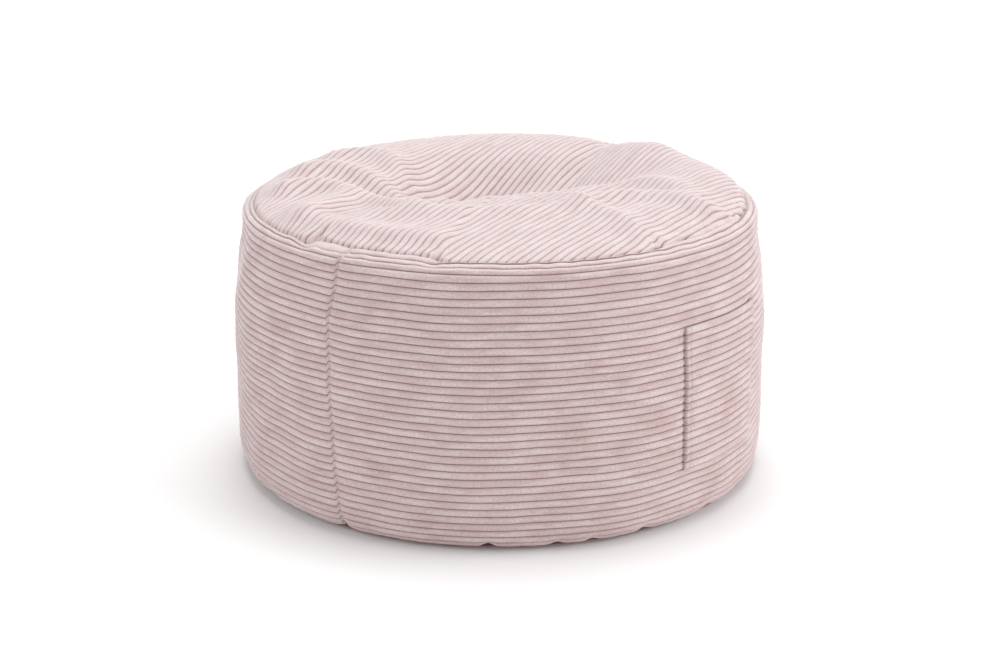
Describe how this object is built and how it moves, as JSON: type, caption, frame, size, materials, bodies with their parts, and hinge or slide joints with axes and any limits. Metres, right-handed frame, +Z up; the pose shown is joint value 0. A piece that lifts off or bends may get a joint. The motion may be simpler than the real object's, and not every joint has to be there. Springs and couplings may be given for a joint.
{
  "type": "bean bag footstool",
  "caption": "Low round bean bag footstool in wide-wale corduroy, with a softly creased top, drawn-in sides and a slip pocket.",
  "frame": {"origin": "on the floor under the middle of the footstool, at the middle of the base panel's flat face", "axes": "+Z up; the front is at -Y; +X to the right seen from the front, with the slip pocket between the front and +X"},
  "size_m": [0.6, 0.6, 0.3297],
  "materials": {
    "corduroy": "dusty pink wide-wale cotton corduroy, velvety cut pile with darker grooves",
    "base_cloth": "plain tightly woven cloth in the same dusty pink"
  },
  "bodies": {
    "root": {"filled_band": "corduroy", "top_panel": "corduroy", "side_pocket": "corduroy", "base_panel": "base_cloth"}
  },
  "joints": []
}
